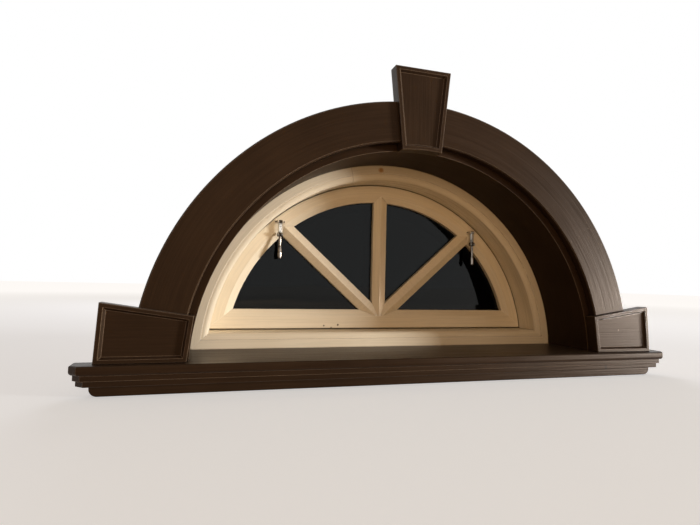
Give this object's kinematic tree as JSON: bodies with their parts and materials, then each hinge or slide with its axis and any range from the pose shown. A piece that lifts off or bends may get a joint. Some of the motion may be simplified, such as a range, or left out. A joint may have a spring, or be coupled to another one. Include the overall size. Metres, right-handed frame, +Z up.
{
  "type": "half-round window",
  "caption": "Half-round window with a fan of bars in a tilting sash, in a deep lined reveal with a fixed outer sash, a keystoned arch trim and a moulded window board.",
  "frame": {"origin": "centre of the arch on the wall face, so the wall opening is centred on it", "axes": "+X to the right along the wall seen from the room, +Y into the wall away from the room, +Z up"},
  "size_m": [1.21, 0.3673, 0.619],
  "materials": {
    "brown_paint": "satin dark brown paint",
    "cream_paint": "semi-gloss cream paint",
    "window_glass": "clear",
    "putty": "painted linseed putty",
    "steel": "worn bright steel",
    "socket_brass": "plain"
  },
  "bodies": {
    "surround": {"arch_trim_left": "brown_paint", "arch_trim_right": "brown_paint", "keystone": "brown_paint", "springer_block_left": "brown_paint", "springer_block_right": "brown_paint", "reveal_lining": "brown_paint", "window_board": "brown_paint", "apron": "brown_paint", "frame_head": "cream_paint", "frame_bottom_rail": "cream_paint", "pivot_sockets": "socket_brass", "outer_sash_head": "cream_paint", "outer_sash_rail": "cream_paint", "outer_sash_bar": "cream_paint", "pane_outer_left": "window_glass", "pane_outer_right": "window_glass", "putty_outer_left": "putty", "putty_outer_right": "putty", "outer_sash_screws": "steel"},
    "sash": {"sash_head": "cream_paint", "sash_bottom_rail": "cream_paint", "glazing_bar_upright": "cream_paint", "glazing_bar_left": "cream_paint", "glazing_bar_right": "cream_paint", "pane_lower_left": "window_glass", "pane_upper_left": "window_glass", "pane_upper_right": "window_glass", "pane_lower_right": "window_glass", "putty_lower_left": "putty", "putty_upper_left": "putty", "putty_upper_right": "putty", "putty_lower_right": "putty", "sash_pivot_pins": "steel", "catch_plate_left": "steel", "catch_plate_right": "steel", "catch_hinge_pin_left": "steel", "catch_hinge_pin_right": "steel", "catch_screws": "steel"},
    "catch_strap_left": {"catch_strap_left": "steel", "catch_joint_pin_left": "steel"},
    "catch_grip_left": {"catch_grip_left": "steel"},
    "catch_strap_right": {"catch_strap_right": "steel", "catch_joint_pin_right": "steel"},
    "catch_grip_right": {"catch_grip_right": "steel"}
  },
  "joints": [
    {"name": "sash_tilt", "type": "hinge", "parent": "surround", "child": "sash", "pos_m": [0, 0.205, 0.0585], "axis": [1, 0, 0], "range_deg": [0, 40]},
    {"name": "catch_left_swing", "type": "hinge", "parent": "sash", "child": "catch_strap_left", "pos_m": [-0.24184, 0.191, 0.29181], "axis": [-1, 0, 0], "range_deg": [-5, 60]},
    {"name": "catch_left_grip", "type": "hinge", "parent": "catch_strap_left", "child": "catch_grip_left", "pos_m": [-0.24184, 0.191, 0.26231], "axis": [-1, 0, 0], "range_deg": [-10, 25]},
    {"name": "catch_right_swing", "type": "hinge", "parent": "sash", "child": "catch_strap_right", "pos_m": [0.24184, 0.191, 0.29181], "axis": [-1, 0, 0], "range_deg": [-5, 60]},
    {"name": "catch_right_grip", "type": "hinge", "parent": "catch_strap_right", "child": "catch_grip_right", "pos_m": [0.24184, 0.191, 0.26231], "axis": [-1, 0, 0], "range_deg": [-10, 25]}
  ]
}
